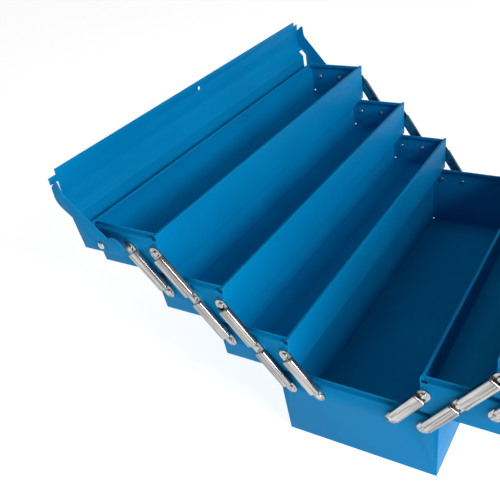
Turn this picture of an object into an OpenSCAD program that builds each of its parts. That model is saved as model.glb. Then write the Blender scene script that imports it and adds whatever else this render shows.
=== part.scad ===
// Cantilever toolbox: a base box, three trays on each side carried by parallel links, and a lid half on
// each top tray. It is drawn fully open. X runs across the box, Y along its length and Z upwards, with the
// origin at the middle of the underside of the base. The left half is drawn and the right half mirrors it.

/* [Trays] */
// Length of the base and of every tray
box_l = 530; // [420:5:650]
// Width of one tray
tray_w = 95.5; // [90:0.5:120]
// Height of one tray
tray_h = 51.2; // [46:0.1:64]
// Thickness of the tray and base sheet
wall = 1; // [0.8:0.1:1.5]
// How far the end walls step inwards below their top edge
rim_inset = 4.5; // [2:0.5:8]
// Height of the stepped rim
rim_h = 5; // [3:0.5:8]
// Width of the folded hem along the long walls
hem_w = 4; // [2:0.5:6]

/* [Base] */
// Height of the base box
base_h = 106.7; // [90:0.1:140]
// Distance from the base's long wall to the closed tray's long wall
side_inset = 0.5; // [0.5:0.5:4]
// Gap between the left and right trays when closed
centre_gap = 6; // [4:0.5:16]

/* [Linkage] */
// First pivot of a tray from its outer wall
pivot_x = 16; // [14:0.5:20]
// Height of a tray's pivots above its floor
pivot_z = 29.5; // [24:0.5:34]
// Spacing of the three pivots of a tray
pivot_pitch = 37; // [32:0.5:38]
// Sideways step from one open tray to the next
open_step = 73.7; // [66:0.1:76]
// Height left between an open tray and the one that it hangs over
open_gap = 1; // [0.6:0.1:3]
// Width of a link
link_w = 15; // [12:0.5:17]
// Depth of a link's channel
link_depth = 6; // [4:0.5:7]
// Thickness of the link sheet
link_wall = 1.2; // [1:0.1:1.5]
// Distance from a pivot to the end of the raised channel
link_seat = 5.2; // [5:0.1:7]

/* [Rivets] */
// Radius of a link rivet's shank
rivet_r = 2.5; // [2:0.1:3]
// Radius of a rivet's head
head_r = 4; // [3.5:0.1:4.2]
// Height of a rivet's head
head_h = 1.6; // [1.2:0.1:2]
// Radius of the pressed boss round each pivot
boss_r = 9.5; // [8:0.5:11]
// Height of the pressed boss
boss_h = 1.6; // [1:0.1:2]

/* [Lid] */
// Thickness of the lid sheet
lid_wall = 1.2; // [1:0.1:1.5]
// Rise of the lid's flat panel to its crown
crown_rise = 15.6; // [10:0.1:20]
// Radius of the bend along the crown
crown_r = 16; // [8:1:20]
// Height of the flat panel beyond the pivot
panel_top = 30.9; // [26:0.1:36]
// Slope of the band from the crown to the free edge
band_tilt = 7.8; // [4:0.1:12]
// Radius of the lid's pivot pins
lid_pin_r = 3; // [2.5:0.1:4]
// Radius of the spacer bush under each lid plate
bush_r = 6; // [5:0.5:7]
// Radius of the hole in the lid's free edge
lock_hole_r = 2.6; // [2:0.1:4]
// Distance from that hole to the free edge
lock_hole_edge = 9.5; // [7:0.5:14]

/* [Handle] */
// Radius of the handle's rod
rod_r = 4; // [3:0.5:5]
// Length of the grip between the middles of the legs
grip_l = 130; // [110:5:160]
// Length of the handle's legs
leg_l = 52; // [46:1:58]
// Width of a handle bracket
bracket_w = 12; // [10:1:14]

/* [Hidden] */

// Clearances shared by everything that moves
run_gap = 0.05;
side_gap = 0.4;
lid_meet_gap = 0.8;
lid_plate_gap = 1;
cut = 1;

// Notches in the ledge of the stepped rim, and the jig holes
notch_l = 7;
notch_h = 2.2;
notch_back = 1.5;
jig_hole_r = 1.2;
jig_hole_x = 4.4;
jig_hole_z = 7.2;

// Outer end of every link rivet's shank
rivet_out = boss_h + 2 * side_gap + link_wall;

// Smoothness and colours
round_fn = 48;
bend_steps = 6;
paint = [0.0, 0.48, 0.75];
zinc = [0.78, 0.79, 0.8];

// The base and the four heights that follow from the linkage
base_w = 2 * (tray_w + side_inset) + centre_gap;
open_rise = tray_h + open_gap;
base_pivot_x = -base_w / 2 + side_inset + pivot_x;
base_pivot_z = base_h + open_gap + pivot_z - open_rise;
link_pitch = norm([open_step - pivot_pitch, open_rise]);
link_angle = atan2(open_rise, pivot_pitch - open_step);
link_gap = boss_h + side_gap;
link_face = link_gap + link_depth;

// Corner of an open left tray, counted 1 at the top to 3 at the bottom, from its outer wall and floor
function tray_x(k) = base_pivot_x - pivot_x - open_step - (3 - k) * open_step;
function tray_z(k) = base_h + open_gap + (3 - k) * open_rise;
// Pivots of a left tray and of the base, counted from 0 at the outer wall
function tray_pivot(k, i) = [tray_x(k) + pivot_x + i * pivot_pitch, 0, tray_z(k) + pivot_z];
function base_pivot(i) = [base_pivot_x + i * pivot_pitch, 0, base_pivot_z];

// The lid, in the open pose, is set out from its pivot: its sheet must swing clear of the tray's top corner
lid_reach = norm([pivot_x, tray_h - pivot_z]) + side_gap;
lid_out = lid_reach + lid_wall;
lip_out = pivot_x + side_gap + lid_wall;
lid_edge = tray_w + centre_gap / 2 - pivot_x - lid_meet_gap;
crown = [-lid_out - crown_rise, panel_top + crown_rise];
band_end = [crown[0] + (lid_edge - crown[1]) * tan(band_tilt), lid_edge];
lid_skin_l = box_l - 2 * lid_plate_gap;
lid_plate_y = link_face + lid_plate_gap;
lid_head_r = 4.5;

// Bands of the lid's sheet that reach out to the end plates, measured up from its pivot, its crown and its
// free edge, with open slots between them
low_band = [-8.2, 14];
crown_band = [-8.6, 4.5];
edge_band = [-13.5, -6];
band_reach = 100;

// Corners of the end plate: its shoulder and tip, set in from the crown and the free edge, and the straight
// edge from there down to its lobe
lobe_r = 11;
shoulder_r = 8;
tip_r = 2;
arm_r = 12;
lobe = [22, 2.8];
plate_shoulder = [crown[0], lid_edge] + [3, -15.7];
plate_tip = [crown[0], lid_edge] + [15.2, -6.7];
arm_top = plate_tip + [1, -17];
arm_end = lobe + [-1.5, lobe_r - tip_r / 4];

// Points along an arc, and along the arc that rounds the corner b between a and c
function on_circle(m, r, angle) = m + r * [cos(angle), sin(angle)];
function arc_points(m, r, start, sweep) =
    [for (i = [0 : bend_steps]) on_circle(m, r, start + sweep * i / bend_steps)];
function turn(d) = d > 180 ? d - 360 : d < -180 ? d + 360 : d;
function fillet(a, b, c, r) =
    let (u = (a - b) / norm(a - b), v = (c - b) / norm(c - b))
    let (half = acos(u * v) / 2)
    let (m = b + (u + v) / norm(u + v) * r / sin(half))
    let (p = b + u * r / tan(half) - m, q = b + v * r / tan(half) - m)
    let (start = atan2(p[1], p[0]))
    arc_points(m, r, start, turn(atan2(q[1], q[0]) - start));

// Copy of an open line of points, moved sideways by t to its right
function side(a, b) = [b[1] - a[1], a[0] - b[0]] / norm(b - a);
function shift_point(p, i, t) =
    let (n = len(p) - 1)
    let (before = side(p[max(i - 1, 0)], p[max(i, 1)]), after = side(p[min(i, n - 1)], p[min(i + 1, n)]))
    p[i] + (before + after) / (1 + before * after) * t;
function shift_line(p, t) = [for (i = [0 : len(p) - 1]) shift_point(p, i, t)];
function reversed(p) = [for (i = [len(p) - 1 : -1 : 0]) p[i]];
function strip(p, t) = concat(p, reversed(shift_line(p, t)));

// Outer face of the lid, from the lip on the tray's outer wall, over the panel and crown, to the free edge
lip = [[-pivot_x - side_gap, -lip_out], [-lid_out, -lip_out], [-lid_out, panel_top]];
lid_line = concat(lip, fillet([-lid_out, panel_top], crown, band_end, crown_r), [band_end]);
// Outline of the lid's end plate: up the panel and crown, round its top, and down a straight edge to a lobe
plate_line = concat([[-lid_out, low_band[0]], [-lid_out, panel_top]],
    fillet([-lid_out, panel_top], crown, band_end, crown_r),
    fillet(crown, plate_shoulder, plate_tip, shoulder_r),
    fillet(plate_shoulder, plate_tip, arm_top, tip_r),
    fillet(plate_tip, arm_top, arm_end, arm_r),
    [lobe, [lobe[0], low_band[0]]]);

module across(y_low, y_high) {
    translate([0, y_high, 0]) rotate([90, 0, 0]) linear_extrude(y_high - y_low) children();
}

module both_ends() {
    for (end = [0, 1]) mirror([0, end, 0]) translate([0, -box_l / 2, 0]) children();
}

// A round bar along the outward direction of the front end, from depth a to depth b
module pin(r, a, b) {
    rotate([90, 0, 0]) translate([0, 0, a]) cylinder(r = r, h = b - a, $fn = round_fn);
}

// Domed head standing outwards from depth a
module dome(r, a, h) {
    dome_steps = 5;
    outline = [for (i = [0 : dome_steps]) [r * cos(90 * i / dome_steps), h * sin(90 * i / dome_steps)]];
    rotate([90, 0, 0]) translate([0, 0, a]) rotate_extrude($fn = round_fn) polygon(concat([[0, 0]], outline));
}

// Rivet through the end wall, headed inside the box and at depth out
module rivet(r, out) {
    pin(r, -wall, out + head_h / 4);
    mirror([0, 1, 0]) dome(head_r, wall, head_h);
    dome(head_r, out, head_h);
}

// Open box of sheet with a stepped rim on its end walls and hems on its long walls
module sheet_box(w, h) {
    rim_l = box_l - 2 * rim_inset;
    difference() {
        union() {
            translate([0, -box_l / 2, 0]) cube([w, box_l, h - rim_h]);
            translate([0, -rim_l / 2, 0]) cube([w, rim_l, h]);
        }
        translate([wall, -box_l / 2 + wall, wall])
            cube([w - 2 * wall, box_l - 2 * wall, h - rim_h - 2 * wall]);
        translate([wall, -rim_l / 2 + wall, wall]) cube([w - 2 * wall, rim_l - 2 * wall, h]);
    }
    for (x = [0, w - hem_w]) translate([x, -box_l / 2, h - wall]) cube([hem_w, box_l, wall]);
    for (x = [0, w - wall]) translate([x, -box_l / 2, h - 2 * rim_h]) cube([wall, box_l, 2 * rim_h]);
}

// Raised boss on the end wall, kept within the wall's width
module boss(w, x, z) {
    intersection() {
        translate([x, 0, z]) pin(boss_r, -wall / 2, boss_h);
        translate([0, -boss_h, 0]) cube([w, wall + boss_h, 2 * z]);
    }
}

// Relief notches where the ledge of the stepped rim meets the long walls
module corner_notches(w, h) {
    both_ends() for (x = [wall, w - wall - notch_l])
        translate([x, -cut, h - rim_h - notch_h])
            cube([notch_l, rim_inset - notch_back + cut, notch_h + cut]);
}

// Small hole near a bottom corner of the back wall, which holds the blank in the folding jig
module jig_hole(x) {
    mirror([0, 1, 0]) translate([x, -box_l / 2, jig_hole_z]) pin(jig_hole_r, -cut - wall, cut);
}

module tray(pivots) {
    color(paint) difference() {
        union() {
            sheet_box(tray_w, tray_h);
            both_ends() for (i = pivots) boss(tray_w, pivot_x + i * pivot_pitch, pivot_z);
        }
        both_ends() {
            for (i = [0 : 2]) translate([pivot_x + i * pivot_pitch, 0, pivot_z])
                pin(pivot_bore(i, pivots), -cut - wall, link_gap);
        }
        jig_hole(jig_hole_x);
        corner_notches(tray_w, tray_h);
    }
}

// The lid's pin passes where a tray has no link
function pivot_bore(i, pivots) = len(search(i, pivots)) > 0 ? rivet_r + run_gap : lid_pin_r + run_gap;

module open_tray(k, pivots) {
    translate([tray_x(k), 0, tray_z(k)]) tray(pivots);
}

module tray_rivets(k, pivots) {
    color(zinc) both_ends() for (i = pivots) translate(tray_pivot(k, i)) rivet(rivet_r, rivet_out);
}

// Pressed link from a lower pivot up to one or two more, with round seats and a raised channel between them
module link(spans, lower) {
    color(zinc) translate(lower) rotate([0, -link_angle, 0]) difference() {
        union() {
            for (i = [0 : spans]) translate([i * link_pitch, 0, 0])
                pin(link_w / 2, link_gap, link_gap + link_wall);
            for (i = [1 : spans]) translate([(i - 1) * link_pitch + link_seat, 0, 0])
                channel(link_pitch - 2 * link_seat);
        }
        for (i = [0 : spans]) translate([i * link_pitch, 0, 0])
            pin(rivet_r + run_gap, link_gap - cut, link_face + cut);
    }
}

module channel(l) {
    difference() {
        translate([0, -link_face, -link_w / 2]) cube([l, link_depth, link_w]);
        translate([link_wall, -link_face + link_wall, link_wall - link_w / 2])
            cube([l - 2 * link_wall, link_depth, link_w - 2 * link_wall]);
    }
}

module front() {
    translate([0, -box_l / 2, 0]) children();
}

module back() {
    mirror([0, 1, 0]) front() children();
}

module right() {
    mirror([1, 0, 0]) children();
}

// Part of the lid's sheet in one band above a height, used where it reaches out to the end plates
module lid_band(height, band) {
    intersection() {
        polygon(strip(lid_line, lid_wall));
        translate([-band_reach, height + band[0]]) square([2 * band_reach, band[1] - band[0]]);
    }
}

module lid() {
    plate_far = box_l / 2 + lid_plate_y + lid_wall;
    color(paint) translate(tray_pivot(1, 0)) difference() {
        union() {
            across(-lid_skin_l / 2, lid_skin_l / 2) polygon(strip(lid_line, lid_wall));
            across(-plate_far, plate_far) {
                lid_band(0, low_band);
                lid_band(crown[1], crown_band);
                lid_band(lid_edge, edge_band);
            }
            // At the back the sheet reaches out all the way from the crown to the free edge's band
            across(0, plate_far) lid_band(crown[1], [0, lid_edge - crown[1] + edge_band[1]]);
            both_ends() across(-lid_plate_y - lid_wall, -lid_plate_y) lid_plate();
        }
        both_ends() pin(lid_pin_r + run_gap, 0, lid_plate_y + lid_wall + cut);
        translate([band_end[0], 0, band_end[1]]) rotate([0, band_tilt, 0])
            translate([-2 * lid_wall, 0, -lock_hole_edge]) rotate([0, 90, 0])
                cylinder(r = lock_hole_r, h = 5 * lid_wall, $fn = round_fn);
    }
}

module lid_plate() {
    polygon(plate_line);
    translate(lobe) circle(r = lobe_r, $fn = round_fn);
}

module lid_pivots() {
    bush_end = lid_plate_y - side_gap;
    pin_end = lid_plate_y + lid_wall + side_gap;
    color(zinc) both_ends() translate(tray_pivot(1, 0)) {
        pin(lid_pin_r, -wall, pin_end + head_h / 4);
        pin(bush_r, 0, bush_end);
        mirror([0, 1, 0]) dome(lid_head_r, wall, head_h);
        dome(lid_head_r, pin_end, head_h);
    }
}

// The handle hangs behind the lid's band from two brackets
hinge_drop = 16;
bracket_side = 2;
bracket_wall = 2.5;
foot_t = 2;
foot_drop = 2.5;
bracket_rivet_r = 2.7;
bracket_rivet_h = 1.2;
bracket_rivet_taper = 0.8;
bracket_rivet_up = 0.2;
hinge_z = lid_edge - hinge_drop;
hinge_x = crown[0] - rod_r - side_gap;
bracket_y = grip_l / 2 - rod_r - bracket_side - bracket_w / 2;
bracket_r = rod_r + bracket_wall;
foot_top = lid_edge - foot_drop;

module rod(from, to) {
    along = to - from;
    translate(from) rotate([0, acos(along[2] / norm(along)), atan2(along[1], along[0])])
        cylinder(r = rod_r, h = norm(along), $fn = round_fn);
}

module handle() {
    low = hinge_z - leg_l;
    color(zinc) translate(tray_pivot(1, 0)) {
        rod([hinge_x, -grip_l / 2, low], [hinge_x, grip_l / 2, low]);
        for (s = [-1, 1]) {
            rod([hinge_x, s * grip_l / 2, low], [hinge_x, s * grip_l / 2, hinge_z]);
            rod([hinge_x, s * grip_l / 2, hinge_z], [hinge_x, s * (bracket_y - bracket_w / 2), hinge_z]);
            for (z = [low, hinge_z]) translate([hinge_x, s * grip_l / 2, z])
                sphere(r = rod_r, $fn = round_fn);
        }
    }
}

module handle_brackets() {
    low = hinge_z - bracket_r;
    high = hinge_z + bracket_r;
    color(zinc) translate(tray_pivot(1, 0)) for (s = [-1, 1])
        translate([0, s * bracket_y - bracket_w / 2, 0]) difference() {
            across(0, bracket_w) {
                translate([hinge_x, hinge_z]) circle(r = bracket_r, $fn = round_fn);
                polygon([[hinge_x, low], [band_face(low), low], [band_face(foot_top), foot_top],
                    [band_face(foot_top) - foot_t, foot_top], [band_face(high) - foot_t, high],
                    [hinge_x, high]]);
            }
            translate([hinge_x, -cut, hinge_z]) rotate([-90, 0, 0])
                cylinder(r = rod_r + run_gap, h = bracket_w + 2 * cut, $fn = round_fn);
        }
}

// Outer face of the lid's band at a height
function band_face(z) = band_end[0] - (lid_edge - z) * tan(band_tilt);

module bracket_rivets() {
    z = (hinge_z + bracket_r + foot_top) / 2 + bracket_rivet_up;
    tip = bracket_rivet_r - bracket_rivet_taper;
    color(zinc) translate(tray_pivot(1, 0)) for (s = [-1, 1])
        translate([band_face(z) - foot_t, s * bracket_y, z]) rotate([0, band_tilt - 90, 0])
            cylinder(r1 = bracket_rivet_r, r2 = tip, h = bracket_rivet_h, $fn = round_fn);
}

module base_box() {
    color(paint) difference() {
        union() {
            translate([-base_w / 2, 0, 0]) sheet_box(base_w, base_h);
            for (m = [0, 1]) mirror([m, 0, 0]) both_ends() for (i = [0, 1])
                translate(base_pivot(i)) pin(boss_r, -wall / 2, boss_h);
        }
        for (m = [0, 1]) mirror([m, 0, 0]) both_ends() for (i = [0, 1])
            translate(base_pivot(i)) pin(rivet_r + run_gap, -cut - wall, link_gap);
        translate([-base_w / 2, 0, 0]) corner_notches(base_w, base_h);
        for (m = [0, 1]) mirror([m, 0, 0]) jig_hole(base_w / 2 - jig_hole_x);
    }
}

module base_rivets() {
    color(zinc) for (m = [0, 1]) mirror([m, 0, 0]) both_ends() for (i = [0, 1])
        translate(base_pivot(i)) rivet(rivet_r, rivet_out);
}

module top_tray_left() open_tray(1, [1, 2]);
module middle_tray_left() open_tray(2, [0, 1, 2]);
module lower_tray_left() open_tray(3, [0, 1, 2]);
module top_tray_right() right() top_tray_left();
module middle_tray_right() right() middle_tray_left();
module lower_tray_right() right() lower_tray_left();
module top_tray_rivets_left() tray_rivets(1, [1, 2]);
module middle_tray_rivets_left() tray_rivets(2, [0, 1, 2]);
module lower_tray_rivets_left() tray_rivets(3, [0, 1, 2]);
module top_tray_rivets_right() right() top_tray_rivets_left();
module middle_tray_rivets_right() right() middle_tray_rivets_left();
module lower_tray_rivets_right() right() lower_tray_rivets_left();
module top_short_link() link(1, tray_pivot(2, 0));
module upper_long_link() link(2, tray_pivot(3, 0));
module lower_long_link() link(2, base_pivot(0));
module base_short_link() link(1, base_pivot(1));
module top_short_link_left_front() front() top_short_link();
module top_short_link_left_back() back() top_short_link();
module upper_long_link_left_front() front() upper_long_link();
module upper_long_link_left_back() back() upper_long_link();
module lower_long_link_left_front() front() lower_long_link();
module lower_long_link_left_back() back() lower_long_link();
module base_short_link_left_front() front() base_short_link();
module base_short_link_left_back() back() base_short_link();
module top_short_link_right_front() right() front() top_short_link();
module top_short_link_right_back() right() back() top_short_link();
module upper_long_link_right_front() right() front() upper_long_link();
module upper_long_link_right_back() right() back() upper_long_link();
module lower_long_link_right_front() right() front() lower_long_link();
module lower_long_link_right_back() right() back() lower_long_link();
module base_short_link_right_front() right() front() base_short_link();
module base_short_link_right_back() right() back() base_short_link();
module lid_left() lid();
module lid_right() right() lid();
module lid_pivots_left() lid_pivots();
module lid_pivots_right() right() lid_pivots();
module handle_left() handle();
module handle_right() right() handle();
module handle_brackets_left() handle_brackets();
module handle_brackets_right() right() handle_brackets();
module bracket_rivets_left() bracket_rivets();
module bracket_rivets_right() right() bracket_rivets();

base_box();
base_rivets();
top_tray_left();
middle_tray_left();
lower_tray_left();
top_tray_right();
middle_tray_right();
lower_tray_right();
top_tray_rivets_left();
middle_tray_rivets_left();
lower_tray_rivets_left();
top_tray_rivets_right();
middle_tray_rivets_right();
lower_tray_rivets_right();
top_short_link_left_front();
top_short_link_left_back();
upper_long_link_left_front();
upper_long_link_left_back();
lower_long_link_left_front();
lower_long_link_left_back();
base_short_link_left_front();
base_short_link_left_back();
top_short_link_right_front();
top_short_link_right_back();
upper_long_link_right_front();
upper_long_link_right_back();
lower_long_link_right_front();
lower_long_link_right_back();
base_short_link_right_front();
base_short_link_right_back();
lid_left();
lid_right();
lid_pivots_left();
lid_pivots_right();
handle_left();
handle_right();
handle_brackets_left();
handle_brackets_right();
bracket_rivets_left();
bracket_rivets_right();
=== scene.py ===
import math

import bmesh
import bpy
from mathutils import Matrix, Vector


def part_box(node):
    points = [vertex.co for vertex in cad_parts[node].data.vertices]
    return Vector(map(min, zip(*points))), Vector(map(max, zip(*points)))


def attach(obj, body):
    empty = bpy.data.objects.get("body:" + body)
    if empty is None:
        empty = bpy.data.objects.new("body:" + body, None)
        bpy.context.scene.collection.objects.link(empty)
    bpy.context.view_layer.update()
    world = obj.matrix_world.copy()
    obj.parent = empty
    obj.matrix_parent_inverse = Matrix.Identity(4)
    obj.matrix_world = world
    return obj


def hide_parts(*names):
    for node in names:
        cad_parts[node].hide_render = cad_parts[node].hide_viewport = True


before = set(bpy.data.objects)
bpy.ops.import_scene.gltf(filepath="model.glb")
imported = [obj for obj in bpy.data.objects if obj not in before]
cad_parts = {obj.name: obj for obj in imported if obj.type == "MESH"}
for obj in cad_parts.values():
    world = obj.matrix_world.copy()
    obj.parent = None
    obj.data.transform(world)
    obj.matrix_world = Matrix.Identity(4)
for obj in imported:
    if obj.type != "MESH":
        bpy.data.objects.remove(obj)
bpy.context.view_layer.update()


# ---------------------------------------------------------------------------------------------
# The six trays. Each is one blank of 1 mm steel folded into an open box. Its end walls step
# inwards just under the rim, its long walls are hemmed over, and the corners have relief slots.
# Round bosses are pressed out round the pivots. It is powder coated after folding.
# ---------------------------------------------------------------------------------------------
gauge = 0.001
fold_radius = 0.0012
cut_edge = 0.00025
rim_step = 0.0045
rim_height = 0.005
hem_width = 0.004
boss_radius = 0.0095
boss_height = 0.0016
boss_round = 0.6
tray_pivot_from_wall = 0.016
tray_pivot_height = 0.0295
tray_pivot_pitch = 0.037
notch_length = 0.007
notch_height = 0.0022
notch_depth = 0.003
jig_hole_radius = 0.0012
jig_hole_in = 0.0044
jig_hole_up = 0.0072
near = 0.00001


def take_up(part):
    """Deselects everything and makes one part the part being worked on."""
    if bpy.context.object and bpy.context.object.mode != "OBJECT":
        bpy.ops.object.mode_set(mode="OBJECT")
    bpy.ops.object.select_all(action="DESELECT")
    part.select_set(True)
    bpy.context.view_layer.objects.active = part


def settle(name):
    """Names the new primitive and moves its place and size into its mesh."""
    part = bpy.context.object
    part.name = name
    take_up(part)
    bpy.ops.object.transform_apply(location=True, rotation=True, scale=True)
    return part


def block(name, corner, opposite):
    """A block between two opposite corners, given in either order."""
    bpy.ops.object.select_all(action="DESELECT")
    corner, opposite = Vector(corner), Vector(opposite)
    size = [abs(reach) for reach in opposite - corner]
    bpy.ops.mesh.primitive_cube_add(size=1, location=(corner + opposite) / 2, scale=size)
    return settle(name)


def disc_along_y(name, middle, radius, depth, steps=48):
    bpy.ops.object.select_all(action="DESELECT")
    bpy.ops.mesh.primitive_cylinder_add(
        vertices=steps, radius=radius, depth=depth, location=middle, rotation=(math.pi / 2, 0, 0))
    return settle(name)


def pick(kind, wanted):
    """Selects, in edit mode, the elements whose middle passes the test."""
    bpy.ops.mesh.select_mode(type=kind)
    bpy.ops.mesh.select_all(action="DESELECT")
    shape = bmesh.from_edit_mesh(bpy.context.object.data)
    for item in {"VERT": shape.verts, "EDGE": shape.edges, "FACE": shape.faces}[kind]:
        if kind == "VERT":
            middle = item.co
        else:
            middle = sum((corner.co for corner in item.verts), Vector()) / len(item.verts)
        if wanted(middle, item):
            item.select_set(True)
    bmesh.update_edit_mesh(bpy.context.object.data)


def work(part, kind, **settings):
    """Adds one modifier, sets it and applies it."""
    take_up(part)
    step = part.modifiers.new(kind, kind)
    for key, value in settings.items():
        setattr(step, key, value)
    bpy.ops.object.modifier_apply(modifier=step.name)


def combine(part, tool, operation):
    """Joins a tool's solid to a part or cuts it out, and throws the tool away."""
    work(part, "BOOLEAN", object=tool, operation=operation, solver="EXACT")
    bpy.data.objects.remove(tool)


def round_edges(part, width, steps, sharper_than):
    work(part, "BEVEL", width=width, segments=steps, limit_method="ANGLE",
         angle_limit=math.radians(sharper_than), use_clamp_overlap=True, miter_outer="MITER_ARC")


def smooth(part):
    take_up(part)
    bpy.ops.object.shade_smooth_by_angle(angle=math.radians(32))


def folded_box(name, low, high):
    """One sheet box with its stepped rim and hems, between two corners."""
    rim_z = high.z - rim_height
    rim_y = high.y - rim_step
    part = block(name, low, high)
    bpy.ops.object.mode_set(mode="EDIT")
    across_end, level = (0, 1, 0), (0, 0, 1)
    for point, normal in (((0, rim_y, 0), across_end), ((0, -rim_y, 0), across_end), ((0, 0, rim_z), level)):
        bpy.ops.mesh.select_all(action="SELECT")
        bpy.ops.mesh.bisect(plane_co=point, plane_no=normal)
    pick("FACE", lambda at, face: at.z > high.z - near)
    bpy.ops.mesh.delete(type="FACE")
    pick("FACE", lambda at, face: at.z > rim_z and abs(at.y) > rim_y - near)
    bpy.ops.mesh.delete(type="FACE")
    for end in (-1, 1):
        pick("VERT", lambda at, corner: abs(at.z - rim_z) < near and at.y * end > rim_y - near)
        bpy.ops.mesh.edge_face_add()
        pick("VERT", lambda at, corner: at.z > rim_z - near and abs(at.y * end - rim_y) < near)
        bpy.ops.mesh.edge_face_add()
    for wall_x, inward in ((low.x, hem_width), (high.x, -hem_width)):
        pick("EDGE", lambda at, edge: at.z > high.z - near and abs(at.x - wall_x) < near)
        bpy.ops.mesh.extrude_edges_move(TRANSFORM_OT_translate={"value": (inward, 0, 0)})
        bpy.ops.transform.resize(value=(1, (rim_y - gauge) / rim_y, 1), center_override=(0, 0, 0))
    bpy.ops.mesh.select_all(action="SELECT")
    bpy.ops.mesh.normals_make_consistent(inside=False)
    bpy.ops.object.mode_set(mode="OBJECT")
    round_edges(part, fold_radius, 4, 40)
    work(part, "SOLIDIFY", thickness=gauge, offset=-1, use_even_offset=True)
    return part


def press_boss(part, x, z, wall_y, low_x, high_x):
    """A round boss pressed out of an end wall, trimmed where it meets the wall's fold."""
    out = math.copysign(1, wall_y)
    middle_y = wall_y + out * (boss_height - gauge / 2) / 2
    boss = disc_along_y("boss", (x, middle_y, z), boss_radius, boss_height + gauge / 2)
    bpy.ops.object.mode_set(mode="EDIT")
    for side_x, keep in ((low_x + fold_radius, -1), (high_x - fold_radius, 1)):
        bpy.ops.mesh.select_all(action="SELECT")
        bpy.ops.mesh.bisect(plane_co=(side_x, 0, 0), plane_no=(keep, 0, 0), clear_outer=True, use_fill=True)
    pick("FACE", lambda at, face: face.normal.y * out > 0.9)
    bpy.ops.mesh.region_to_loop()
    bpy.ops.mesh.bevel(offset=boss_height * boss_round, segments=4, affect="EDGES")
    bpy.ops.object.mode_set(mode="OBJECT")
    combine(part, boss, "UNION")


def notch_corners(part, low, high):
    """Cuts a notch in the ledge of the stepped rim beside each long wall."""
    ledge = high.z - rim_height
    for end in (-1, 1):
        for wall_x, inward in ((low.x, 1), (high.x, -1)):
            start = wall_x + inward * gauge
            tool = block("notch", (start, end * (high.y + gauge), ledge - notch_height),
                         (start + inward * notch_length, end * (high.y - notch_depth), ledge + gauge / 2))
            combine(part, tool, "DIFFERENCE")


def add_tabs(part, low, high):
    """Carries the long walls and their hems out past the stepped rim, to the ends of the box."""
    ledge = high.z - rim_height
    tabs = []
    for end in (-1, 1):
        inner_y = end * (high.y - rim_step - gauge / 2)
        for wall_x, inward in ((low.x, 1), (high.x, -1)):
            tabs.append(block("wall tab", (wall_x, end * high.y, ledge - gauge),
                              (wall_x + inward * gauge, inner_y, high.z)))
            tabs.append(block("hem tab", (wall_x + inward * gauge / 2, end * high.y, high.z - gauge),
                              (wall_x + inward * hem_width, inner_y, high.z)))
    for tab in tabs:
        round_edges(tab, cut_edge, 2, 60)
    take_up(part)
    for tab in tabs:
        tab.select_set(True)
    bpy.ops.object.join()


def drill_jig_hole(part, x, z, wall_y):
    combine(part, disc_along_y("jig hole", (x, wall_y, z), jig_hole_radius, 4 * gauge, 24), "DIFFERENCE")


def finish_sheet(part, low, high):
    """Takes the sharpness off the sheared edges and shades the folds smooth."""
    round_edges(part, cut_edge, 2, 60)
    add_tabs(part, low, high)
    smooth(part)


def make_tray(node, pivots):
    low, high = (Vector(corner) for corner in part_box(node))
    low.y += boss_height
    high.y -= boss_height
    tray = folded_box(node + "_shell", low, high)
    for wall_y in (low.y, high.y):
        for number in pivots:
            press_boss(tray, low.x + tray_pivot_from_wall + number * tray_pivot_pitch,
                       low.z + tray_pivot_height, wall_y, low.x, high.x)
    drill_jig_hole(tray, low.x + jig_hole_in, low.z + jig_hole_up, high.y)
    notch_corners(tray, low, high)
    finish_sheet(tray, low, high)
    return tray


def twin(part, name, shift=(0, 0, 0), across=False, lengthways=False):
    """A copy with its own mesh, moved or mirrored to the other side or the other end."""
    copy = part.copy()
    copy.data = part.data.copy()
    copy.name = name
    bpy.context.collection.objects.link(copy)
    take_up(copy)
    copy.location = shift
    copy.scale = (-1 if across else 1, -1 if lengthways else 1, 1)
    bpy.ops.object.transform_apply(location=True, rotation=True, scale=True)
    if across != lengthways:
        bpy.ops.object.mode_set(mode="EDIT")
        bpy.ops.mesh.select_all(action="SELECT")
        bpy.ops.mesh.flip_normals()
        bpy.ops.object.mode_set(mode="OBJECT")
    return copy


def hand_over(part, node, body, material):
    """Gives a finished piece its material and puts it in the place of its CAD node."""
    part.data.materials.clear()
    part.data.materials.append(material)
    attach(part, body)
    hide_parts(node)


def new_material(name):
    material = bpy.data.materials.new(name)
    material.use_nodes = True
    nodes = material.node_tree.nodes
    return material, nodes, material.node_tree.links, nodes["Principled BSDF"]


def noise(nodes, links, place, scale, detail):
    """A noise pattern over the given places, from 0 to 1."""
    pattern = nodes.new("ShaderNodeTexNoise")
    pattern.inputs["Scale"].default_value = scale
    pattern.inputs["Detail"].default_value = detail
    links.new(place, pattern.inputs["Vector"])
    return pattern.outputs["Fac"]


def stretched(nodes, links, place, scales):
    """The given places, scaled differently along each axis."""
    stretch = nodes.new("ShaderNodeMapping")
    stretch.inputs["Scale"].default_value = scales
    links.new(place, stretch.inputs["Vector"])
    return stretch.outputs["Vector"]


def spread(nodes, links, value, low, high, to_low, to_high):
    """A value between low and high, spread over a new range."""
    change = nodes.new("ShaderNodeMapRange")
    change.inputs["From Min"].default_value = low
    change.inputs["From Max"].default_value = high
    change.inputs["To Min"].default_value = to_low
    change.inputs["To Max"].default_value = to_high
    links.new(value, change.inputs["Value"])
    return change.outputs["Result"]


def two_tones(nodes, links, value, first, first_colour, last, last_colour):
    """One colour that runs into another between two values."""
    tone = nodes.new("ShaderNodeValToRGB")
    start, end = tone.color_ramp.elements
    start.position = first
    start.color = (*first_colour, 1)
    end.position = last
    end.color = (*last_colour, 1)
    links.new(value, tone.inputs["Fac"])
    return tone.outputs["Color"]


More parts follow.
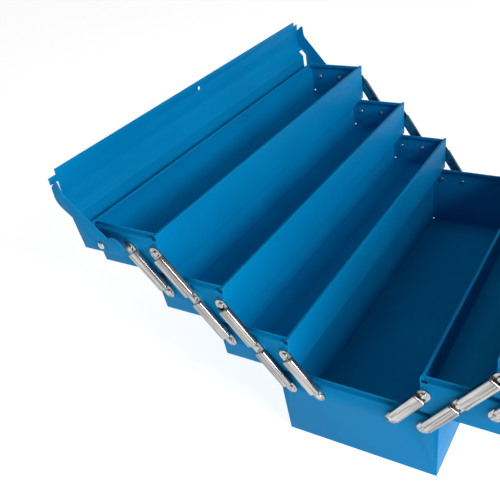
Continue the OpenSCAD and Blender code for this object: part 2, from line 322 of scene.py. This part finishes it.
def relief(nodes, links, height, strength, distance, shader):
    """Small bumps in the surface."""
    bump = nodes.new("ShaderNodeBump")
    bump.inputs["Strength"].default_value = strength
    bump.inputs["Distance"].default_value = distance
    links.new(height, bump.inputs["Height"])
    links.new(bump.outputs["Normal"], shader.inputs["Normal"])


def powder_coat(name, colour, deep, edge_highlight_and_wear):
    """Satin powder coat: orange peel, faint clouding, paler edges that are partly rubbed wear and partly a
    painted highlight, and a few fine scuffs.
    """
    material, nodes, links, shader = new_material(name)
    place = nodes.new("ShaderNodeTexCoord").outputs["Object"]
    cloud = noise(nodes, links, place, 9, 3)
    tone = two_tones(nodes, links, cloud, 0.3, deep, 0.7, colour)

    # paler edges, partly rubbed wear and partly a painted highlight: where a rounded normal leaves the true
    # one, broken up by noise
    rounded = nodes.new("ShaderNodeBevel")
    rounded.samples = 6
    rounded.inputs["Radius"].default_value = 0.0008
    true_normal = nodes.new("ShaderNodeNewGeometry").outputs["Normal"]
    agree = nodes.new("ShaderNodeVectorMath")
    agree.operation = "DOT_PRODUCT"
    links.new(rounded.outputs["Normal"], agree.inputs[0])
    links.new(true_normal, agree.inputs[1])
    edge = spread(nodes, links, agree.outputs["Value"], 0.995, 0.93, 0, 1)
    patch = spread(nodes, links, noise(nodes, links, place, 160, 4), 0.35, 0.65, 0.35, 0.85)
    highlight_and_rub = nodes.new("ShaderNodeMath")
    highlight_and_rub.operation = "MULTIPLY"
    links.new(edge, highlight_and_rub.inputs[0])
    links.new(patch, highlight_and_rub.inputs[1])
    blend = nodes.new("ShaderNodeMix")
    blend.data_type = "RGBA"
    blend.inputs["B"].default_value = (*edge_highlight_and_wear, 1)
    links.new(highlight_and_rub.outputs["Value"], blend.inputs["Factor"])
    links.new(tone, blend.inputs["A"])
    links.new(blend.outputs["Result"], shader.inputs["Base Color"])

    # scuffs along the box, where tools slide in and out
    scuff = noise(nodes, links, stretched(nodes, links, place, (240, 14, 240)), 1, 5)
    links.new(spread(nodes, links, scuff, 0.3, 0.75, 0.36, 0.48), shader.inputs["Roughness"])
    relief(nodes, links, noise(nodes, links, place, 900, 2), 0.12, 0.00025, shader)
    shader.inputs["IOR"].default_value = 1.5
    shader.inputs["Specular IOR Level"].default_value = 0.04
    return material


# the last colour is the paler edge tone, a painted highlight along the sheet edges together with rubbed wear
blue_coat = powder_coat("blue powder coat", (0.0, 0.235, 0.53), (0.0, 0.205, 0.475), (0.02, 0.42, 0.74))

top_tray = make_tray("top_tray_left", (1, 2))
middle_tray = make_tray("middle_tray_left", (0, 1, 2))
tray_step = Vector(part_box("lower_tray_left")[0]) - Vector(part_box("middle_tray_left")[0])
lower_tray = twin(middle_tray, "lower_tray_left_shell", shift=tray_step)
for level, shell in (("top", top_tray), ("middle", middle_tray), ("lower", lower_tray)):
    hand_over(shell, f"{level}_tray_left", f"{level}_tray_left_body", blue_coat)
    other = twin(shell, f"{level}_tray_right_shell", across=True)
    hand_over(other, f"{level}_tray_right", f"{level}_tray_right_body", blue_coat)


# ---------------------------------------------------------------------------------------------
# The base box. It is folded like the trays from the same sheet, twice as deep, and stands flat
# on its bottom. Two bosses at each corner of the end walls carry the lower ends of the links.
# ---------------------------------------------------------------------------------------------
base_low, base_high = (Vector(corner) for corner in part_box("base_box"))
base_low.y += boss_height
base_high.y -= boss_height
base_pivot_height = 0.085
base_pivot_from_wall = 0.0165
base_shell = folded_box("base_shell", base_low, base_high)
for end_y in (base_low.y, base_high.y):
    for wall_x, inward in ((base_low.x, 1), (base_high.x, -1)):
        for pivot in (0, 1):
            pivot_x = wall_x + inward * (base_pivot_from_wall + pivot * tray_pivot_pitch)
            press_boss(base_shell, pivot_x, base_pivot_height, end_y, base_low.x, base_high.x)
for hole_x in (base_low.x + jig_hole_in, base_high.x - jig_hole_in):
    drill_jig_hole(base_shell, hole_x, base_low.z + jig_hole_up, base_high.y)
notch_corners(base_shell, base_low, base_high)
finish_sheet(base_shell, base_low, base_high)
hand_over(base_shell, "base_box", "base", blue_coat)


# ---------------------------------------------------------------------------------------------
# The link rivets. Each is a zinc-plated steel rivet with a low domed head on both sides of the
# joint: one inside the box, and one outside over the link's round seat.
# ---------------------------------------------------------------------------------------------
shank_radius = 0.0025
head_radius = 0.004
head_height = 0.0016
crown_flat = 0.0008
head_out = 0.0036
end_wall = base_high.y


def turned(name, outline, steps=40):
    """A turned or headed part along -Y, from (radius, depth) pairs, closed at both ends."""
    bpy.ops.object.select_all(action="DESELECT")
    first_radius, first_depth = outline[0]
    bpy.ops.mesh.primitive_circle_add(
        vertices=steps, radius=first_radius, fill_type="NGON",
        location=(0, -first_depth, 0), rotation=(math.pi / 2, 0, 0))
    part = settle(name)
    bpy.ops.object.mode_set(mode="EDIT")
    pick("EDGE", lambda at, edge: True)
    radius, depth = first_radius, first_depth
    for next_radius, next_depth in outline[1:]:
        bpy.ops.mesh.extrude_edges_move(TRANSFORM_OT_translate={"value": (0, depth - next_depth, 0)})
        grow = next_radius / radius
        bpy.ops.transform.resize(value=(grow, 1, grow), center_override=(0, -next_depth, 0))
        radius, depth = next_radius, next_depth
    bpy.ops.mesh.edge_face_add()
    bpy.ops.mesh.select_all(action="SELECT")
    bpy.ops.mesh.normals_make_consistent(inside=False)
    bpy.ops.object.mode_set(mode="OBJECT")
    smooth(part)
    return part


def domed(radius, height, start, towards, steps=6):
    """Radii and depths of a domed head, rim first, that stands from a depth one way."""
    angles = [math.pi / 2 * step / (steps + 0.6) for step in range(steps + 1)]
    return [(radius * math.cos(angle), start + towards * height * math.sin(angle)) for angle in angles]


def plated_steel(name, colour, smoothest, roughest):
    """Bright plating: cloudy patches, and fine polish lines that are bumps, with dark streaks along them
    painted into the colour as painted reflection.
    """
    material, nodes, links, shader = new_material(name)
    shader.inputs["Metallic"].default_value = 1
    place = nodes.new("ShaderNodeTexCoord").outputs["Object"]
    patches = noise(nodes, links, place, 60, 4)
    links.new(spread(nodes, links, patches, 0.35, 0.7, smoothest, roughest), shader.inputs["Roughness"])
    dull = [channel * 0.82 for channel in colour]
    tint = two_tones(nodes, links, patches, 0.3, dull, 0.62, colour)

    # the polish lines follow the open links, which slope the opposite way on the other side
    either_side = nodes.new("ShaderNodeVectorMath")
    either_side.operation = "ABSOLUTE"
    links.new(place, either_side.inputs[0])
    slope = nodes.new("ShaderNodeMapping")
    slope.inputs["Rotation"].default_value = (0, math.radians(54.9), 0)
    links.new(either_side.outputs["Vector"], slope.inputs["Vector"])
    scratch = noise(nodes, links, stretched(nodes, links, slope.outputs["Vector"], (12, 420, 420)), 1, 3)
    # painted reflection: the base colour is darkened in streaks along the polish lines, standing in for dark
    # reflections
    reflection_streak = spread(nodes, links, scratch, 0.35, 0.6, 0.4, 1)
    shaded = nodes.new("ShaderNodeVectorMath")
    shaded.operation = "SCALE"
    links.new(tint, shaded.inputs[0])
    links.new(reflection_streak, shaded.inputs["Scale"])
    links.new(shaded.outputs["Vector"], shader.inputs["Base Color"])
    relief(nodes, links, scratch, 0.10, 0.0001, shader)
    return material


bright_zinc = plated_steel("bright zinc", (0.80, 0.80, 0.79), 0.28, 0.42)

rivet_outline = [(crown_flat, -gauge - head_height)]
rivet_outline += list(reversed(domed(head_radius, head_height, -gauge, -1)))
rivet_outline += [(shank_radius, -gauge), (shank_radius, head_out)]
rivet_outline += domed(head_radius, head_height, head_out, 1)
rivet = turned("rivet", rivet_outline)


def rivet_group(name, master, places):
    """Copies of one fastener at both ends of the box, joined as one piece."""
    copies = []
    for x, z in places:
        copies.append(twin(master, name, shift=(x, -end_wall, z)))
        copies.append(twin(copies[-1], name, lengthways=True))
    take_up(copies[0])
    for copy in copies:
        copy.select_set(True)
    bpy.ops.object.join()
    return copies[0]


def tray_pivots(level, numbers):
    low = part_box(f"{level}_tray_left")[0]
    first_x = low[0] + tray_pivot_from_wall
    pivot_z = low[2] + tray_pivot_height
    return [(first_x + number * tray_pivot_pitch, pivot_z) for number in numbers]


for level, numbers in (("top", (1, 2)), ("middle", (0, 1, 2)), ("lower", (0, 1, 2))):
    group = rivet_group(f"{level}_left_rivets", rivet, tray_pivots(level, numbers))
    hand_over(group, f"{level}_tray_rivets_left", f"{level}_tray_left_body", bright_zinc)
    other = twin(group, f"{level}_right_rivets", across=True)
    hand_over(other, f"{level}_tray_rivets_right", f"{level}_tray_right_body", bright_zinc)

base_places = [(side * (base_high.x - base_pivot_from_wall - pivot * tray_pivot_pitch), base_pivot_height)
               for side in (-1, 1) for pivot in (0, 1)]
hand_over(rivet_group("base_link_rivets", rivet, base_places), "base_rivets", "base", bright_zinc)
bpy.data.objects.remove(rivet)


# ---------------------------------------------------------------------------------------------
# The links. Each is pressed from 1.2 mm strip, with a raised channel between its pivots that has
# closed, rounded ends and is open towards the box. The rivets sit on the flat seats between them.
# ---------------------------------------------------------------------------------------------
link_width = 0.015
link_sheet = 0.0012
link_depth = 0.006
link_gap = 0.002
link_bend = 0.0022
link_edge = 0.0003
channel_from_pivot = 0.0052


def pressed_channel(start, length):
    """One raised channel along X with closed ends and rounded bends, open towards +Y."""
    face = -link_gap - link_depth
    part = block("channel", (start, face, -link_width / 2), (start + length, -link_gap, link_width / 2))
    bpy.ops.object.mode_set(mode="EDIT")
    pick("FACE", lambda at, side: side.normal.y > 0.9)
    bpy.ops.mesh.delete(type="FACE")
    pick("EDGE", lambda at, edge: at.y < -link_gap - near)
    bpy.ops.mesh.bevel(offset=link_bend, segments=6, affect="EDGES")
    bpy.ops.object.mode_set(mode="OBJECT")
    work(part, "SOLIDIFY", thickness=link_sheet, offset=-1, use_even_offset=True)
    return part


def make_link(name, low_pivot, high_pivot, spans):
    """A link from its lower pivot up to its last one, at the front left."""
    run = math.hypot(high_pivot[0] - low_pivot[0], high_pivot[1] - low_pivot[1])
    pitch = run / spans
    link = block(name, (0, -link_gap - link_sheet, -link_width / 2), (run, -link_gap, link_width / 2))
    for number in range(spans):
        start = number * pitch + channel_from_pivot
        combine(link, pressed_channel(start, pitch - 2 * channel_from_pivot), "UNION")
    for number in range(spans + 1):
        middle = number * pitch
        seat = disc_along_y("seat", (middle, -link_gap - link_sheet / 2, 0), link_width / 2, link_sheet)
        combine(link, seat, "UNION")
        hole = disc_along_y("hole", (middle, -link_gap, 0), shank_radius + 0.00005, 3 * link_sheet)
        combine(link, hole, "DIFFERENCE")
    round_edges(link, link_edge, 2, 50)
    smooth(link)
    rise = math.atan2(high_pivot[1] - low_pivot[1], high_pivot[0] - low_pivot[0])
    take_up(link)
    link.rotation_euler = (0, -rise, 0)
    link.location = (low_pivot[0], -end_wall, low_pivot[1])
    bpy.ops.object.transform_apply(location=True, rotation=True, scale=True)
    return link


link_steel = plated_steel("link plating", (0.56, 0.55, 0.53), 0.2, 0.32)
link_kinds = (("top_short_link", 1), ("upper_long_link", 2), ("lower_long_link", 2), ("base_short_link", 1))
for kind, spans in link_kinds:
    body = kind + "s"
    link_low, link_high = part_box(f"{kind}_left_front")
    lower = (link_high[0] - link_width / 2, link_low[2] + link_width / 2)
    upper = (link_low[0] + link_width / 2, link_high[2] - link_width / 2)
    front_left = make_link(f"{kind}_left_front_pressing", lower, upper, spans)
    hand_over(front_left, f"{kind}_left_front", f"{body}_left", link_steel)
    back_left = twin(front_left, f"{kind}_left_back_pressing", lengthways=True)
    hand_over(back_left, f"{kind}_left_back", f"{body}_left", link_steel)
    front_right = twin(front_left, f"{kind}_right_front_pressing", across=True)
    hand_over(front_right, f"{kind}_right_front", f"{body}_right", link_steel)
    back_right = twin(back_left, f"{kind}_right_back_pressing", across=True)
    hand_over(back_right, f"{kind}_right_back", f"{body}_right", link_steel)


# ---------------------------------------------------------------------------------------------
# The lid halves. Each is one sheet with a rounded crown, and an end plate at each end that
# reaches down to the lid's pivot. It is powder coated the same blue as the trays.
# ---------------------------------------------------------------------------------------------
weld = 0.00002
lid_edge_round = 0.0003


def softened(node, name, width, steps):
    """A copy of a CAD node with its facets joined and its edges rounded."""
    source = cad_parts[node]
    copy = source.copy()
    copy.data = source.data.copy()
    copy.name = name
    for key in list(copy.keys()):
        del copy[key]
    bpy.context.collection.objects.link(copy)
    copy.parent = None
    copy.hide_render = False
    copy.hide_set(False)
    take_up(copy)
    bpy.ops.object.mode_set(mode="EDIT")
    bpy.ops.mesh.select_mode(type="VERT")
    bpy.ops.mesh.select_all(action="SELECT")
    bpy.ops.mesh.remove_doubles(threshold=weld)
    bpy.ops.mesh.dissolve_limited(angle_limit=math.radians(0.6))
    bpy.ops.object.mode_set(mode="OBJECT")
    round_edges(copy, width, steps, 34)
    smooth(copy)
    return copy


lid = softened("lid_left", "lid_left_shell", lid_edge_round, 2)
hand_over(lid, "lid_left", "lid_left_body", blue_coat)
hand_over(twin(lid, "lid_right_shell", across=True), "lid_right", "lid_right_body", blue_coat)


# ---------------------------------------------------------------------------------------------
# The lid pivots. A stepped zinc-plated pin is riveted through each end wall of the top trays,
# with a bush that holds the lid's plate clear of the links, and a domed head outside it.
# ---------------------------------------------------------------------------------------------
pin_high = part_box("lid_pivots_left")[1]
pin_head = 0.0045
pin_radius = 0.003
bush_radius = 0.006
bush_start = 0.0001
bush_end = 0.0086
bush_edge = 0.0004
bush_start_edge = 0.0003
pin_end = pin_high[1] - end_wall - head_height
pin_outline = [(crown_flat, -gauge - head_height)]
pin_outline += list(reversed(domed(pin_head, head_height, -gauge, -1)))
pin_outline += [(pin_radius, -gauge), (pin_radius, bush_start)]
pin_outline += [(bush_radius - bush_start_edge, bush_start), (bush_radius, bush_edge)]
pin_outline += [(bush_radius, bush_end - bush_edge), (bush_radius - bush_edge, bush_end)]
pin_outline += [(pin_radius, bush_end), (pin_radius, pin_end)]
pin_outline += domed(pin_head, head_height, pin_end, 1)
pin = turned("lid pin", pin_outline)
pins = rivet_group("lid_left_pins", pin, tray_pivots("top", (0,)))
hand_over(pins, "lid_pivots_left", "top_tray_left_body", bright_zinc)
right_pins = twin(pins, "lid_right_pins", across=True)
hand_over(right_pins, "lid_pivots_right", "top_tray_right_body", bright_zinc)
bpy.data.objects.remove(pin)


# ---------------------------------------------------------------------------------------------
# The carrying handles. Each is one bent round rod, plated, that hangs from two steel brackets on
# the outside of a lid half. Each bracket is folded round the rod and riveted to the lid.
# ---------------------------------------------------------------------------------------------
handle_low, handle_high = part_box("handle_left")
rod_radius = (handle_high[0] - handle_low[0]) / 2
rod_x = (handle_low[0] + handle_high[0]) / 2
grip_z = handle_low[2] + rod_radius
hinge_z = handle_high[2] - rod_radius
leg_y = handle_high[1] - rod_radius
hinge_tip = 0.047
tip_edge = 0.0006
tip_taper = 0.85
bracket_edge = 0.0006
bracket_rivet_edge = 0.0003
grip_bend = 0.010
hinge_bend = 0.007


def bent_rod(name):
    """Half of the handle, from its middle round the two bends, mirrored to the other half."""
    bpy.ops.object.select_all(action="DESELECT")
    bpy.ops.mesh.primitive_circle_add(
        vertices=28, radius=rod_radius, location=(rod_x, 0, grip_z), rotation=(math.pi / 2, 0, 0))
    part = settle(name)
    bpy.ops.object.mode_set(mode="EDIT")
    pick("EDGE", lambda at, edge: True)
    low_bend = (rod_x, leg_y - grip_bend, grip_z + grip_bend)
    high_bend = (rod_x, leg_y - hinge_bend, hinge_z - hinge_bend)
    leg = hinge_z - hinge_bend - grip_z - grip_bend
    inwards = hinge_tip + tip_edge - leg_y + hinge_bend
    bpy.ops.mesh.extrude_edges_move(TRANSFORM_OT_translate={"value": (0, leg_y - grip_bend, 0)})
    bpy.ops.mesh.spin(steps=8, angle=math.pi / 2, center=low_bend, axis=(1, 0, 0))
    bpy.ops.mesh.extrude_edges_move(TRANSFORM_OT_translate={"value": (0, 0, leg)})
    bpy.ops.mesh.spin(steps=8, angle=math.pi / 2, center=high_bend, axis=(1, 0, 0))
    bpy.ops.mesh.extrude_edges_move(TRANSFORM_OT_translate={"value": (0, inwards, 0)})
    bpy.ops.mesh.extrude_edges_move(TRANSFORM_OT_translate={"value": (0, -tip_edge, 0)})
    bpy.ops.transform.resize(value=(tip_taper, 1, tip_taper), center_override=(rod_x, hinge_tip, hinge_z))
    bpy.ops.mesh.edge_face_add()
    bpy.ops.object.mode_set(mode="OBJECT")
    work(part, "MIRROR", use_axis=(False, True, False), use_mirror_merge=True, merge_threshold=0.0001)
    bpy.ops.object.mode_set(mode="EDIT")
    bpy.ops.mesh.select_all(action="SELECT")
    bpy.ops.mesh.remove_doubles(threshold=weld)
    bpy.ops.mesh.normals_make_consistent(inside=False)
    bpy.ops.object.mode_set(mode="OBJECT")
    smooth(part)
    return part


handle_steel = plated_steel("handle plating", (0.80, 0.80, 0.80), 0.16, 0.3)
handle = bent_rod("handle_left_rod")
hand_over(handle, "handle_left", "handle_left_body", handle_steel)
right_handle = twin(handle, "handle_right_rod", across=True)
hand_over(right_handle, "handle_right", "handle_right_body", handle_steel)
for node, width in (("handle_brackets", bracket_edge), ("bracket_rivets", bracket_rivet_edge)):
    fitting = softened(f"{node}_left", f"{node}_left_fitting", width, 3)
    hand_over(fitting, f"{node}_left", "lid_left_body", bright_zinc)
    right_fitting = twin(fitting, f"{node}_right_fitting", across=True)
    hand_over(right_fitting, f"{node}_right", "lid_right_body", bright_zinc)


# ---------------------------------------------------------------------------------------------
# The floor, the studio lights and the camera
# ---------------------------------------------------------------------------------------------
bpy.ops.object.select_all(action="DESELECT")
bpy.ops.mesh.primitive_plane_add(size=12, location=(0, 0, 0))
floor = settle("floor")
floor_paint, _, _, floor_shader = new_material("white floor")
floor_shader.inputs["Base Color"].default_value = (0.6, 0.6, 0.6, 1)
floor_shader.inputs["Roughness"].default_value = 0.85
floor_shader.inputs["Emission Color"].default_value = (1, 1, 1, 1)
floor_shader.inputs["Emission Strength"].default_value = 0.86
floor.data.materials.append(floor_paint)

world = bpy.data.worlds.new("studio")
bpy.context.scene.world = world
world.use_nodes = True
sky_nodes = world.node_tree.nodes
sky_links = world.node_tree.links
direction = sky_nodes.new("ShaderNodeTexCoord")
height_of = sky_nodes.new("ShaderNodeSeparateXYZ")
sky_links.new(direction.outputs["Generated"], height_of.inputs["Vector"])
sky = two_tones(sky_nodes, sky_links, height_of.outputs["Z"], 0.05, (1, 1, 1), 0.6, (0.12, 0.12, 0.125))
sky_links.new(sky, sky_nodes["Background"].inputs["Color"])
sky_nodes["Background"].inputs["Strength"].default_value = 0.5


def softbox(name, place, aim, width, height, power):
    lamp_data = bpy.data.lights.new(name, "AREA")
    lamp_data.shape = "RECTANGLE"
    lamp_data.size = width
    lamp_data.size_y = height
    lamp_data.energy = power
    lamp = bpy.data.objects.new(name, lamp_data)
    lamp.location = place
    lamp.rotation_euler = (Vector(aim) - Vector(place)).to_track_quat("-Z", "Y").to_euler()
    bpy.context.collection.objects.link(lamp)


softbox("key softbox", (1.65, -0.6, 1.1), (-0.1, 0, 0.15), 0.9, 0.8, 32)
softbox("top softbox", (0.1, 0, 2.0), (0, 0, 0.1), 1.6, 1.6, 6)
bpy.context.scene.view_settings.view_transform = "Standard"

camera_data = bpy.data.cameras.new("camera")
camera_data.sensor_width = 36
camera_data.lens = 42.165
camera_data.shift_x = -0.1652
camera_data.shift_y = 0.2231
camera_data.clip_start = 0.01
camera = bpy.data.objects.new("camera", camera_data)
camera.location = (0.21935, -0.65063, 0.58493)
camera.rotation_euler = (math.radians(45.802), math.radians(5.525), math.radians(26.751))
bpy.context.collection.objects.link(camera)
bpy.context.scene.camera = camera
